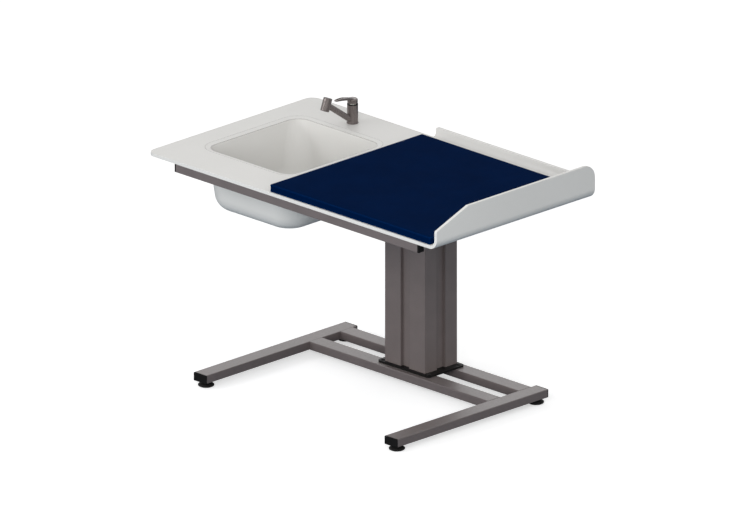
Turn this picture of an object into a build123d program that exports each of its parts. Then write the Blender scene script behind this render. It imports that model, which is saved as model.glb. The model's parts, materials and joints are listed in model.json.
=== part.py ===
from build123d import *
import math
import os

# Height-adjustable changing table: a solid-surface worktop with a moulded washbasin, carried by a
# telescopic column on an H-shaped steel base. Millimetres, +Z up, front edge towards -Y.
# The origin lies on the floor under the middle of the table.

# Worktop
top_length = 1400.0
top_depth = 800.0
top_height = 800.0
sheet_thickness = 12.0
left_corner_radius = 35.0
back_right_corner_radius = 10.0

# Thermoformed guards
end_guard_rise = 115.0
end_guard_front_rise = 57.0
end_guard_slope_run = 153.0
end_guard_back_gap = 36.0
end_guard_back_radius = 50.0
end_guard_corner_radius = 6.0
end_cove_radius = 25.0
guard_land = 5.0
back_guard_rise = 31.0
back_guard_stand_out = 20.0
back_cove_radius = 15.0
back_guard_from_left = 587.0
back_guard_end_gap = 60.0
back_guard_corner_radius = 5.0

# Washbasin
basin_length = 410.0
basin_from_left = 108.0
basin_from_front = 172.0
basin_from_back = 175.0
basin_corner_radius = 50.0
basin_ring_width = 19.5
basin_ring_drop = 4.0
basin_depth = 213.0
basin_wall = 10.0
basin_draft = 8.0
basin_floor_radius = 50.0
basin_foot_corner_radius = 100.0
basin_lap_thickness = 6.0
basin_seam = 0.3
basin_wall_gap = 0.5

# Basin waste
waste_hole_diameter = 46.0
waste_flange_diameter = 64.0
waste_flange_thickness = 2.5
waste_recess_gap = 0.3
waste_thread_diameter = 42.0
waste_thread_length = 26.0
waste_tail_diameter = 40.0
waste_bore_diameter = 35.0
waste_tail_length = 56.0
waste_seal_diameter = 60.0
waste_seal_thickness = 3.0
waste_nut_diameter = 58.0
waste_nut_thickness = 10.0
strainer_bar_width = 4.0
strainer_depth = 9.0
strainer_bar_height = 4.0
plug_diameter = 44.0
plug_thickness = 4.0
plug_stem_gap = 0.5
plug_stem_height = 4.0
plug_knob_diameter = 14.0
plug_knob_height = 9.0
plug_knob_radius = 2.5

# Worktop frame
rail_width = 26.0
rail_height = 30.0
rail_wall = 2.0
rail_corner_radius = 1.5
rail_cap_thickness = 6.0
rail_cap_plug_length = 15.0
cap_plug_gap = 0.1
rail_start_from_left = 134.0
rail_right_inset = 90.0
front_rail_inset = 2.0
rear_rail_inset = 15.0
right_cross_rail_inset = 130.0
column_cross_rail_offset = 110.0

# Lifting column
column_width = 194.0
column_depth = 155.0
column_from_basin = 182.0
column_from_back = 176.0
column_wall = 4.0
column_corner_radius = 1.5
groove_width = 40.0
groove_depth = 11.0
column_gap = 4.0
inner_column_wall = 3.0
lift_stroke = 300.0
column_top_gap = 10.0
collar_thickness = 6.0
collar_lip = 1.5
collar_inner_gap = 0.5
glide_length = 40.0
glide_clearance = 0.1
inner_column_floor_gap = 14.0
top_plate_length = 260.0
top_plate_width = 150.0
top_plate_thickness = 8.0
top_plate_corner_radius = 8.0
top_screw_spacing = 110.0

# Column base plate
base_plate_length = 248.0
base_plate_width = 176.0
base_plate_thickness = 7.0
base_plate_corner_radius = 12.0
base_screw_spacing_x = 220.0
base_screw_spacing_y = 146.0

# Screws
screw_diameter = 8.0
screw_clearance = 0.5
screw_head_diameter = 13.0
screw_head_height = 3.6
screw_head_radius = 1.6
screw_socket_size = 5.0
screw_socket_depth = 2.2
screw_reach = 8.0

# Lift drive
gearbox_length = 106.0
gearbox_width = 56.0
gearbox_height = 45.0
gearbox_radius = 8.0
gearbox_spindle_offset = 34.0
motor_diameter = 52.0
motor_length = 125.0
motor_offset = 44.0
motor_edge_radius = 4.0
spindle_diameter = 18.0
spindle_journal_diameter = 12.0
spindle_journal_length = 25.0
spindle_end_margin = 56.0
spindle_tip_chamfer = 2.0
bearing_diameter = 26.0
bearing_height = 9.0
running_clearance = 0.05
carrier_thickness = 8.0
carrier_above_motor = 14.0
nut_diameter = 30.0
nut_height = 34.0
nut_flange_diameter = 46.0
nut_flange_thickness = 6.0

# Base frame
leg_width = 60.0
leg_height = 30.0
leg_wall = 2.0
leg_corner_radius = 2.5
leg_back_gap = 52.0
leg_from_end = 240.0
leg_front_from_front = 18.0
leg_cap_thickness = 4.0
leg_cap_plug_length = 13.0
crossbar_width = 60.0
front_crossbar_offset = 77.0
rear_crossbar_offset = 71.0

# Levelling feet
foot_height = 20.0
foot_diameter = 56.0
foot_sole_diameter = 46.0
foot_rim_height = 3.0
foot_shoulder_height = 7.0
foot_boss_diameter = 30.0
foot_pad_height = 13.0
foot_from_leg_end = 30.0
foot_stem_diameter = 10.0
foot_stem_gap = 0.5
foot_stem_sunk = 6.0
foot_stem_top_gap = 3.0
foot_hex_across_flats = 17.0
foot_nut_diameter = 20.0
foot_nut_height = 11.0

# Tap
tap_from_left = 291.0
tap_from_back = 97.0
tap_hole_diameter = 30.0
tap_flange_diameter = 41.0
tap_flange_height = 3.0
tap_body_diameter = 38.0
tap_body_top = 67.0
tap_bore_diameter = 29.0
tap_floor_thickness = 4.0
shank_diameter = 26.0
shank_bore_diameter = 20.0
shank_length = 46.0
tap_washer_diameter = 44.0
tap_washer_thickness = 3.0
tap_nut_across_flats = 36.0
tap_nut_height = 8.0

# Spout and pull-out spray
spout_diameter = 21.0
spout_bore_diameter = 14.0
spout_angle = 35.5
spout_axis_height = 7.0
spout_root = 12.7
spout_reach = 155.4
spray_neck_length = 26.0
spray_split_gap = 0.3
spray_diameter = 31.0
spray_length = 47.0
spray_tilt = 21.0
spray_edge_radius = 2.0
spray_collar_depth = 1.0
spray_collar_height = 3.5
spray_recess_diameter = 24.0
spray_recess_depth = 5.0
nozzle_thickness = 3.5
nozzle_hole_diameter = 1.6
nozzle_hole_depth = 1.2
nozzle_ring_diameters = (7.0, 15.0)
nozzle_ring_counts = (6, 12)
hose_diameter = 11.0
hose_start = 16.0
hose_in_head = 14.0

# Tap lever and cartridge
seal_ring_height = 2.5
cartridge_bottom = 40.0
cartridge_gap = 0.2
cartridge_neck_diameter = 20.0
cartridge_neck_top = 72.0
stem_diameter = 8.0
stem_bottom = 58.0
stem_block_bottom = 72.5
stem_block_top = 79.5
stem_block_back = 11.0
lever_pivot_back = 8.0
lever_pivot_height = 76.0
lever_pin_diameter = 3.0
lever_pin_length = 30.0
lever_cap_diameter = 36.0
lever_cap_hollow_diameter = 30.0
lever_cap_bottom = 73.5
lever_cap_hollow_top = 84.0
lever_cap_top = 89.0
lever_cap_edge_radius = 4.5
lever_reach = 84.0
lever_root_top = 88.5
lever_root_under = 82.5
lever_crest_top = 101.9
lever_crest_under = 94.0
lever_tip_top = 101.0
lever_tip_under = 97.5
lever_root_width = 20.0
lever_tip_width = 13.0
lever_slot_length = 8.0
lever_slot_width = 9.0
lever_slot_radius = 2.0
lever_slot_pitch = 11.5
lever_slot_inset = 50.0
lever_slot_count = 3
lever_crest_share = 0.62
lever_tip_corner_share = 0.67

# Changing mattress
mattress_thickness = 26.0
mattress_from_basin = 72.0
mattress_from_front = 5.0
mattress_end_gap = 1.0
mattress_back_gap = 61.0
mattress_corner_radius = 4.0
mattress_edge_bevel = 3.0

# Drive electronics under the worktop
control_box_length_share = 0.53
control_box_middle_share = 0.40
control_box_width = 120.0
control_box_height = 42.0
control_box_from_back = 180.0
control_box_edge_radius = 4.0
socket_length_share = 0.095
socket_pitch_share = 0.20
socket_height = 14.0
socket_depth = 12.0
socket_count = 3
switch_length = 84.0
switch_width = 36.0
switch_height = 20.0
switch_middle_share = 0.60
switch_edge_radius = 3.0
key_length = 24.0
key_width = 20.0
key_height = 9.0
key_stand_out = 2.0
key_travel = 1.5
key_clearance = 0.2
key_spacing = 36.0
key_edge_radius = 1.5

# One overrun serves every cut
overrun = 5.0

# Places worked out from the sizes above
overall_depth = top_depth + back_guard_stand_out
top_left = -top_length / 2
top_right = top_length / 2
top_front = -overall_depth / 2
top_back = top_front + top_depth
top_under = top_height - sheet_thickness
end_guard_flat = top_right - sheet_thickness - end_cove_radius - guard_land
end_guard_back = top_back - end_guard_back_gap
back_guard_outer = top_back + back_guard_stand_out
back_guard_inner = back_guard_outer - sheet_thickness
back_guard_flat = back_guard_inner - back_cove_radius - guard_land
back_guard_left = top_left + back_guard_from_left
back_guard_right = top_right - back_guard_end_gap
basin_width = top_depth - basin_from_front - basin_from_back
basin_x = top_left + basin_from_left + basin_length / 2
basin_y = top_front + basin_from_front + basin_width / 2
basin_right = basin_x + basin_length / 2
basin_floor = top_height - basin_depth
basin_under = basin_floor - basin_wall
lap_height = top_height - basin_lap_thickness
rail_bottom = top_under - rail_height
front_rail_y = top_front + front_rail_inset + rail_width / 2
rear_rail_y = top_back - rear_rail_inset - rail_width / 2
rail_start = top_left + rail_start_from_left
rail_end = top_right - rail_right_inset
column_x = basin_right + column_from_basin
column_y = top_back - column_from_back
leg_bottom = foot_height
leg_top = leg_bottom + leg_height
plate_top = leg_top + base_plate_thickness
top_plate_top = rail_bottom
top_plate_bottom = top_plate_top - top_plate_thickness
outer_column_top = top_plate_bottom - column_top_gap
inner_column_bottom = plate_top + inner_column_floor_gap
gearbox_top = plate_top + gearbox_height
motor_top = gearbox_top + motor_length
carrier_bottom = motor_top + carrier_above_motor
spindle_tip = carrier_bottom + nut_height + lift_stroke + spindle_end_margin
leg_front = top_front + leg_front_from_front
leg_back = top_back - leg_back_gap
leg_pitch = top_length - 2 * leg_from_end
front_crossbar_y = column_y - front_crossbar_offset
rear_crossbar_y = column_y + rear_crossbar_offset
bay_start = column_x + column_cross_rail_offset + rail_width / 2
bay_end = top_right - right_cross_rail_inset - rail_width / 2
bay_length = bay_end - bay_start
control_box_length = bay_length * control_box_length_share
control_box_x = bay_start + bay_length * control_box_middle_share
switch_x = bay_start + bay_length * switch_middle_share
tap_place = Pos(top_left + tap_from_left, top_back - tap_from_back, top_height)
nut_bore = spindle_diameter / 2 + running_clearance


# Shared helpers

def along_x(section, start, end):
    """Extrude a section drawn as Y and Z from one X to another."""
    plane = Plane(origin=(start, 0, 0), x_dir=(0, 1, 0), z_dir=(1, 0, 0))
    return extrude(plane * section, amount=end - start)


def along_y(section, start, end):
    """Extrude a section drawn as X and Z from one Y to another."""
    plane = Plane(origin=(0, end, 0), x_dir=(1, 0, 0), z_dir=(0, -1, 0))
    return extrude(plane * section, amount=end - start)


def along_z(section, start, end):
    """Extrude a section drawn as X and Y from one Z to another."""
    return extrude(Pos(0, 0, start) * section, amount=end - start)


def span(x_places, y_places):
    """A rectangle between two pairs of places."""
    width = x_places[1] - x_places[0]
    height = y_places[1] - y_places[0]
    centre = Pos((x_places[0] + x_places[1]) / 2, (y_places[0] + y_places[1]) / 2)
    return centre * Rectangle(width, height)


def ring(outer_radius, inner_radius, start, end):
    """A plain ring or washer along Z."""
    return along_z(Circle(outer_radius) - Circle(inner_radius), start, end)


def tube_section(width, height, wall, corner):
    """The hollow section of a rectangular steel tube."""
    hollow = RectangleRounded(width - 2 * wall, height - 2 * wall, corner - wall / 2)
    return RectangleRounded(width, height, corner) - hollow


def near_corner(face, x_place, y_place):
    """The corner of a flat face that lies nearest a place."""
    return face.vertices().sort_by_distance((x_place, y_place, 0))[0]


def rounded(face, x_place, y_place, radius):
    """A flat face with one of its corners rounded."""
    return fillet(near_corner(face, x_place, y_place), radius)


def rectangle_places(spacing_x, spacing_y):
    """The four corners of a rectangle of fasteners."""
    sides = (-1, 1)
    return [Pos(i * spacing_x / 2, j * spacing_y / 2) for i in sides for j in sides]


def button_screw():
    """A hexagon-socket screw seen from its head, its seat at zero, pointing down."""
    head = along_z(Circle(screw_head_diameter / 2), 0, screw_head_height)
    head = fillet(head.edges().group_by(Axis.Z)[-1], screw_head_radius)
    socket = RegularPolygon(screw_socket_size / 2, 6, major_radius=False)
    head -= along_z(socket, screw_head_height - screw_socket_depth, screw_head_height + overrun)
    return head


def screw_shank(length):
    return along_z(Circle(screw_diameter / 2), -length, 0)


# Worktop with its guards

def guard_section(flat, outer, rise, cove):
    """The bent edge of the sheet: a flat run that turns up through a cove."""
    inner = outer - sheet_thickness
    top = top_height + rise
    points = [(flat, top_under), (outer, top_under), (outer, top)]
    points += [(inner, top), (inner, top_height), (flat, top_height)]
    section = make_face(Polyline(*points, close=True))
    section = rounded(section, inner, top_height, cove)
    return rounded(section, outer, top_under, cove + sheet_thickness)


def end_guard_outline():
    """The end guard seen from the side: it rises, slopes up and ends in a round corner."""
    back = end_guard_back
    low = top_height + end_guard_front_rise
    high = top_height + end_guard_rise
    slope_end = top_front + end_guard_slope_run
    points = [(top_front, top_under), (back, top_under), (back, high), (slope_end, high), (top_front, low)]
    outline = make_face(Polyline(*points, close=True))
    outline = rounded(outline, back, high, end_guard_back_radius)
    outline = rounded(outline, slope_end, high, end_guard_corner_radius)
    return rounded(outline, top_front, low, end_guard_corner_radius)


def end_guard():
    section = guard_section(end_guard_flat, top_right, end_guard_rise, end_cove_radius)
    bent = along_y(section, top_front, end_guard_back)
    return bent & along_x(end_guard_outline(), end_guard_flat, top_right)


def back_guard():
    section = guard_section(back_guard_flat, back_guard_outer, back_guard_rise, back_cove_radius)
    bent = along_x(section, back_guard_left, back_guard_right)
    high = top_height + back_guard_rise
    outline = span((back_guard_left, back_guard_right), (top_under, high))
    outline = rounded(outline, back_guard_left, high, back_guard_corner_radius)
    outline = rounded(outline, back_guard_right, high, back_guard_corner_radius)
    return bent & along_y(outline, back_guard_flat, back_guard_outer)


def sheet():
    outline = span((top_left, end_guard_flat), (top_front, top_back))
    outline = rounded(outline, top_left, top_front, left_corner_radius)
    outline = rounded(outline, top_left, top_back, left_corner_radius)
    outline = rounded(outline, end_guard_flat, top_back, back_right_corner_radius)
    bent_edge = span((back_guard_left, back_guard_right), (back_guard_flat, top_back + overrun))
    return along_z(outline - bent_edge, top_under, top_height)


def basin_outline(growth, corner_radius=basin_corner_radius):
    """The basin opening, grown outwards all round."""
    length = basin_length + 2 * growth
    width = basin_width + 2 * growth
    return Pos(basin_x, basin_y) * RectangleRounded(length, width, corner_radius + growth)


def worktop():
    """The flat sheet, with a shouldered opening for the basin and the tap's hole."""
    top = sheet()
    top -= along_z(basin_outline(basin_ring_width), lap_height, top_height + overrun)
    top -= along_z(basin_outline(basin_wall + basin_wall_gap), top_under - overrun, top_height)
    tap_hole = along_z(Circle(tap_hole_diameter / 2), -sheet_thickness - overrun, overrun)
    return top - tap_place * tap_hole


# Basin and waste

def bowl_form(growth, bottom):
    """The bowl as a solid plug, inside or outside form, with a drafted wall and a round foot."""
    mouth = Pos(0, 0, top_height) * basin_outline(growth)
    foot_corner = basin_foot_corner_radius + basin_draft
    foot = Pos(0, 0, bottom) * basin_outline(growth - basin_draft, foot_corner)
    form = loft([foot, mouth], ruled=True)
    return fillet(form.edges().group_by(Axis.Z)[0], basin_floor_radius + growth)


def basin_ring():
    """The ring round the bowl's mouth that is glued into the sheet, its top sloping inwards."""
    frame = along_z(basin_outline(basin_ring_width - basin_seam), lap_height, top_height)
    rim = Pos(0, 0, top_height - basin_ring_drop) * basin_outline(0)
    seam = Pos(0, 0, top_height) * basin_outline(basin_ring_width)
    return frame - bowl_form(0, basin_floor) - loft([rim, seam], ruled=True)


def basin_bowl():
    bowl = bowl_form(basin_wall, basin_under) - bowl_form(0, basin_floor)
    bowl -= along_z(basin_outline(basin_ring_width), lap_height, top_height + overrun)
    centre = Pos(basin_x, basin_y, basin_floor)
    bowl -= centre * along_z(Circle(waste_hole_diameter / 2), -basin_wall - overrun, overrun)
    recess = waste_flange_diameter / 2 + waste_recess_gap
    return bowl - centre * along_z(Circle(recess), -waste_flange_thickness, overrun)


def waste_body():
    """A flanged tail with a cross-shaped strainer, standing in the floor of the bowl."""
    bore = waste_bore_diameter / 2
    thread_end = -waste_flange_thickness - waste_thread_length
    tail_end = -basin_wall - waste_tail_length
    body = ring(waste_flange_diameter / 2, bore, -waste_flange_thickness, 0)
    body += ring(waste_thread_diameter / 2, bore, thread_end, -waste_flange_thickness)
    body += ring(waste_tail_diameter / 2, bore, tail_end, thread_end)
    bar = Rectangle(waste_bore_diameter + strainer_bar_width, strainer_bar_width)
    cross = bar + Rot(0, 0, 90) * bar
    body += along_z(cross, -strainer_depth - strainer_bar_height, -strainer_depth)
    return Pos(basin_x, basin_y, basin_floor) * body


def waste_seal():
    seal = ring(waste_seal_diameter / 2, waste_thread_diameter / 2, -waste_seal_thickness, 0)
    return Pos(basin_x, basin_y, basin_under) * seal


def waste_nut():
    top = -waste_seal_thickness
    bottom = top - waste_nut_thickness
    hexagon = RegularPolygon(waste_nut_diameter / 2, 6)
    nut = along_z(hexagon - Circle(waste_thread_diameter / 2), bottom, top)
    return Pos(basin_x, basin_y, basin_under) * nut


def waste_plug():
    """A plug that sits on the waste flange, its stem down the bore and a knob to lift it by."""
    stem = along_z(Circle(waste_bore_diameter / 2 - plug_stem_gap), -plug_stem_height, 0)
    disc = along_z(Circle(plug_diameter / 2), 0, plug_thickness)
    knob = along_z(Circle(plug_knob_diameter / 2), plug_thickness, plug_thickness + plug_knob_height)
    knob = fillet(knob.edges().group_by(Axis.Z)[-1], plug_knob_radius)
    return Pos(basin_x, basin_y, basin_floor) * (stem + disc + knob)


# Worktop frame

def rail_section():
    return tube_section(rail_width, rail_height, rail_wall, rail_corner_radius)


def long_rail(rail_y):
    section = Pos(rail_y, rail_bottom + rail_height / 2) * rail_section()
    return along_x(section, rail_start + rail_cap_thickness, rail_end - rail_cap_thickness)


def cross_rail(rail_x):
    section = Pos(rail_x, rail_bottom + rail_height / 2) * rail_section()
    return along_y(section, front_rail_y + rail_width / 2, rear_rail_y - rail_width / 2)


def column_cross_rail(side):
    """A cross rail that the column's top plate is screwed to."""
    rail = cross_rail(column_x + side * column_cross_rail_offset)
    hole = along_z(Circle(screw_diameter / 2 + screw_clearance), -overrun, rail_wall + overrun)
    for end in (-1, 1):
        place = (column_x + side * column_cross_rail_offset, column_y + end * top_screw_spacing / 2)
        rail -= Pos(place[0], place[1], rail_bottom) * hole
    return rail


def end_cap(width, height, wall, corner, thickness, plug_length):
    """A tube cap lying along X: its plate from zero outwards, its plug inwards."""
    plate = along_x(RectangleRounded(width, height, corner), 0, thickness)
    shrink = 2 * (wall + cap_plug_gap)
    plug = RectangleRounded(width - shrink, height - shrink, corner - wall / 2)
    hollow = RectangleRounded(width - shrink - 2 * wall, height - shrink - 2 * wall, corner - wall / 2)
    return plate + along_x(plug - hollow, -plug_length, 0)


def rail_end_caps():
    cap = end_cap(rail_width, rail_height, rail_wall, rail_corner_radius, rail_cap_thickness,
                  rail_cap_plug_length)
    centre = rail_bottom + rail_height / 2
    caps = []
    for rail_y in (front_rail_y, rear_rail_y):
        caps.append(Pos(rail_end - rail_cap_thickness, rail_y, centre) * cap)
        caps.append(Pos(rail_start + rail_cap_thickness, rail_y, centre) * Rot(0, 0, 180) * cap)
    return Compound(children=caps)


# Lifting column

def column_section(inset):
    """The column's outline with a groove down each face, shrunk inwards all round."""
    half_width = column_width / 2
    half_depth = column_depth / 2
    groove = groove_width + 2 * inset
    outline = Rectangle(column_width - 2 * inset, column_depth - 2 * inset)
    for side in (-1, 1):
        outline -= Pos(side * (half_width - inset), 0) * Rectangle(2 * groove_depth, groove)
        outline -= Pos(0, side * (half_depth - inset)) * Rectangle(groove, 2 * groove_depth)
    corners = outline.vertices().filter_by(lambda v: abs(v.X) > groove / 2 and abs(v.Y) > groove / 2)
    outer = corners.sort_by_distance((0, 0, 0))[-4:]
    return fillet(outer, max(column_corner_radius - inset / 2, column_corner_radius / 4))


def column_ring(outer_inset, inner_inset, start, end):
    section = column_section(outer_inset) - column_section(inner_inset)
    return Pos(column_x, column_y) * along_z(section, start, end)


def outer_column():
    return column_ring(0, column_wall, plate_top, outer_column_top)


def inner_column():
    outer = column_wall + column_gap
    return column_ring(outer, outer + inner_column_wall, inner_column_bottom, top_plate_bottom)


def upper_glide():
    """A plastic liner at the mouth of the outer column, which the inner one runs through."""
    inner = column_wall + column_gap - glide_clearance
    return column_ring(column_wall, inner, outer_column_top - glide_length, outer_column_top)


def lower_glide():
    """A plastic band round the foot of the inner column."""
    outer = column_wall + glide_clearance
    inner = column_wall + column_gap
    return column_ring(outer, inner, inner_column_bottom, inner_column_bottom + glide_length)


def column_collar():
    """The dark trim on the mouth of the outer column."""
    inner = column_wall + column_gap - collar_inner_gap
    return column_ring(-collar_lip, inner, outer_column_top, outer_column_top + collar_thickness)


def top_plate():
    outline = RectangleRounded(top_plate_length, top_plate_width, top_plate_corner_radius)
    hole = Circle(screw_diameter / 2 + screw_clearance)
    for place in rectangle_places(2 * column_cross_rail_offset, top_screw_spacing):
        outline -= place * hole
    return Pos(column_x, column_y) * along_z(outline, top_plate_bottom, top_plate_top)


def top_plate_screws():
    screw = button_screw() + screw_shank(top_plate_thickness + screw_reach)
    turned = Rot(180, 0, 0) * screw
    places = rectangle_places(2 * column_cross_rail_offset, top_screw_spacing)
    centre = Pos(column_x, column_y, top_plate_bottom)
    return Compound(children=[centre * place * turned for place in places])


def column_base_plate():
    outline = RectangleRounded(base_plate_length, base_plate_width, base_plate_corner_radius)
    hole = Circle(screw_diameter / 2 + screw_clearance)
    for place in rectangle_places(base_screw_spacing_x, base_screw_spacing_y):
        outline -= place * hole
    return Pos(column_x, column_y) * along_z(outline, leg_top, plate_top)


def base_plate_screws():
    screw = button_screw() + screw_shank(base_plate_thickness + screw_reach)
    places = rectangle_places(base_screw_spacing_x, base_screw_spacing_y)
    centre = Pos(column_x, column_y, plate_top)
    return Compound(children=[centre * place * screw for place in places])


# Lift drive inside the column

def lift_motor():
    """A gearbox on the base plate with its motor standing beside the spindle."""
    box = RectangleRounded(gearbox_length, gearbox_width, gearbox_radius)
    shift = gearbox_length / 2 - gearbox_spindle_offset
    drive = along_z(Pos(shift, 0) * box, plate_top, gearbox_top)
    motor = along_z(Pos(motor_offset, 0) * Circle(motor_diameter / 2), gearbox_top, motor_top)
    drive += fillet(motor.edges().group_by(Axis.Z)[-1], motor_edge_radius)
    journal = spindle_journal_diameter / 2 + running_clearance
    seat = gearbox_top - spindle_journal_length - overrun
    drive -= along_z(Circle(journal), seat, gearbox_top + overrun)
    return Pos(column_x, column_y) * drive


def spindle_bearing():
    journal = spindle_journal_diameter / 2 + running_clearance
    bearing = ring(bearing_diameter / 2, journal, gearbox_top, gearbox_top + bearing_height)
    return Pos(column_x, column_y) * bearing


def lift_spindle():
    foot = gearbox_top - spindle_journal_length
    shoulder = gearbox_top + bearing_height
    spindle = along_z(Circle(spindle_journal_diameter / 2), foot, shoulder)
    screw = along_z(Circle(spindle_diameter / 2), shoulder, spindle_tip)
    spindle += chamfer(screw.edges().group_by(Axis.Z)[-1], spindle_tip_chamfer)
    return Pos(column_x, column_y) * spindle


def nut_carrier():
    """The plate inside the inner column that takes the spindle nut."""
    inset = column_wall + column_gap + inner_column_wall
    plate = column_section(inset) - Circle(nut_diameter / 2)
    return Pos(column_x, column_y) * along_z(plate, carrier_bottom, carrier_bottom + carrier_thickness)


def spindle_nut():
    top = carrier_bottom + carrier_thickness
    flange = ring(nut_flange_diameter / 2, nut_bore, top, top + nut_flange_thickness)
    sleeve = ring(nut_diameter / 2, nut_bore, carrier_bottom, carrier_bottom + nut_height)
    return Pos(column_x, column_y) * (flange + sleeve)


# Base frame

def leg(side):
    section = tube_section(leg_width, leg_height, leg_wall, leg_corner_radius)
    section = Pos(side * leg_pitch / 2, leg_bottom + leg_height / 2) * section
    tube = along_y(section, leg_front + leg_cap_thickness, leg_back - leg_cap_thickness)
    stem_hole = along_z(Circle(foot_stem_diameter / 2 + foot_stem_gap), -overrun, leg_wall + overrun)
    for foot_y in (leg_front + foot_from_leg_end, leg_back - foot_from_leg_end):
        tube -= Pos(side * leg_pitch / 2, foot_y, leg_bottom) * stem_hole
    return tube


def crossbar(bar_y, screw_side):
    section = tube_section(crossbar_width, leg_height, leg_wall, leg_corner_radius)
    section = Pos(bar_y, leg_bottom + leg_height / 2) * section
    inner = (leg_pitch - leg_width) / 2
    bar = along_x(section, -inner, inner)
    hole = along_z(Circle(screw_diameter / 2 + screw_clearance), -leg_wall - overrun, overrun)
    for end in (-1, 1):
        hole_x = column_x + end * base_screw_spacing_x / 2
        hole_y = column_y + screw_side * base_screw_spacing_y / 2
        bar -= Pos(hole_x, hole_y, leg_top) * hole
    return bar


def leg_end_caps():
    cap = end_cap(leg_width, leg_height, leg_wall, leg_corner_radius, leg_cap_thickness,
                  leg_cap_plug_length)
    centre = leg_bottom + leg_height / 2
    caps = []
    for side in (-1, 1):
        leg_x = side * leg_pitch / 2
        caps.append(Pos(leg_x, leg_back - leg_cap_thickness, centre) * Rot(0, 0, 90) * cap)
        caps.append(Pos(leg_x, leg_front + leg_cap_thickness, centre) * Rot(0, 0, -90) * cap)
    return Compound(children=caps)


# Levelling feet

def foot_places():
    """Each foot's name and place on the floor."""
    places = {}
    for row, foot_y in (("front", leg_front + foot_from_leg_end), ("rear", leg_back - foot_from_leg_end)):
        for name, side in (("left", -1), ("right", 1)):
            places[row + "_" + name] = Pos(side * leg_pitch / 2, foot_y)
    return places


def foot_nuts():
    """The nuts inside the legs that the feet screw into."""
    bore = foot_stem_diameter / 2 + running_clearance
    start = leg_bottom + leg_wall
    nut = ring(foot_nut_diameter / 2, bore, start, start + foot_nut_height)
    return Compound(children=[place * nut for place in foot_places().values()])


def foot_pad():
    """A moulded foot: flat sole, round rim and a shoulder that rises to a boss."""
    sole = foot_sole_diameter / 2
    rim = foot_diameter / 2
    boss = foot_boss_diameter / 2
    points = [(0, 0), (sole, 0), (rim, foot_rim_height), (rim, foot_shoulder_height)]
    points += [(boss, foot_pad_height), (0, foot_pad_height)]
    profile = make_face(Plane.XZ * Polyline(*points, close=True))
    pad = revolve(profile, Axis.Z)
    socket = foot_pad_height - foot_stem_sunk
    return pad - along_z(Circle(foot_stem_diameter / 2), socket, foot_pad_height + overrun)


def foot_stem():
    """The threaded stem of a foot with its hexagon against the leg."""
    top = leg_top - leg_wall - foot_stem_top_gap
    stem = along_z(Circle(foot_stem_diameter / 2), foot_pad_height - foot_stem_sunk, top)
    hexagon = RegularPolygon(foot_hex_across_flats / 2, 6, major_radius=False)
    return stem + along_z(hexagon, foot_pad_height, leg_bottom)


# Tap, in its own place: zero on the worktop, spout towards -Y

def spout_line(distance):
    """A plane across the spout's axis, its normal pointing out along the spout."""
    angle = math.radians(spout_angle)
    out = (0, -math.cos(angle), math.sin(angle))
    origin = (0, distance * out[1], spout_axis_height + distance * out[2])
    return Plane(origin=origin, x_dir=(1, 0, 0), z_dir=out)


def spout_rod(radius, start, end):
    return extrude(spout_line(start) * Circle(radius), amount=end - start)


def spray_plane():
    """A plane across the spray head at its middle, its normal pointing out of the nozzle."""
    angle = math.radians(spray_tilt)
    down = (0, -math.sin(angle), -math.cos(angle))
    return Plane(origin=spout_line(spout_reach).origin, x_dir=(1, 0, 0), z_dir=down)


def tap_base_ring():
    return ring(tap_flange_diameter / 2, shank_diameter / 2, 0, tap_flange_height)


def tap_body():
    split = spout_reach - spray_neck_length
    body = along_z(Circle(tap_body_diameter / 2), tap_flange_height, tap_body_top)
    body += spout_rod(spout_diameter / 2, spout_root, split)
    floor = tap_flange_height + tap_floor_thickness
    body -= along_z(Circle(tap_bore_diameter / 2), floor, tap_body_top + overrun)
    return body - spout_rod(spout_bore_diameter / 2, spout_root, split + overrun)


def tap_shank():
    return ring(shank_diameter / 2, shank_bore_diameter / 2, tap_flange_height - shank_length,
                tap_flange_height)


def tap_washer():
    top = -sheet_thickness
    return ring(tap_washer_diameter / 2, shank_diameter / 2, top - tap_washer_thickness, top)


def tap_nut():
    top = -sheet_thickness - tap_washer_thickness
    hexagon = RegularPolygon(tap_nut_across_flats / 2, 6, major_radius=False)
    return along_z(hexagon - Circle(shank_diameter / 2), top - tap_nut_height, top)


def tap_seal_ring():
    return ring(tap_body_diameter / 2, tap_bore_diameter / 2, tap_body_top,
                tap_body_top + seal_ring_height)


def tap_cartridge():
    """The cartridge in the body, its neck bored for the turning stem."""
    cartridge = along_z(Circle(tap_bore_diameter / 2 - cartridge_gap), cartridge_bottom, tap_body_top)
    cartridge += along_z(Circle(cartridge_neck_diameter / 2), tap_body_top, cartridge_neck_top)
    bore = Circle(stem_diameter / 2 + running_clearance)
    return cartridge - along_z(bore, stem_bottom - overrun, cartridge_neck_top + overrun)


def lever_pin(radius, length):
    pin = along_x(Circle(radius), -length / 2, length / 2)
    return Pos(0, lever_pivot_back, lever_pivot_height) * pin


def cartridge_stem():
    """The stem that turns in the cartridge and carries the lever's pin."""
    half = stem_diameter / 2
    stem = along_z(Circle(half), stem_bottom, stem_block_bottom)
    stem += along_z(span((-half, half), (-half, stem_block_back)), stem_block_bottom, stem_block_top)
    return stem + lever_pin(lever_pin_diameter / 2, lever_pin_length)


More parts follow.
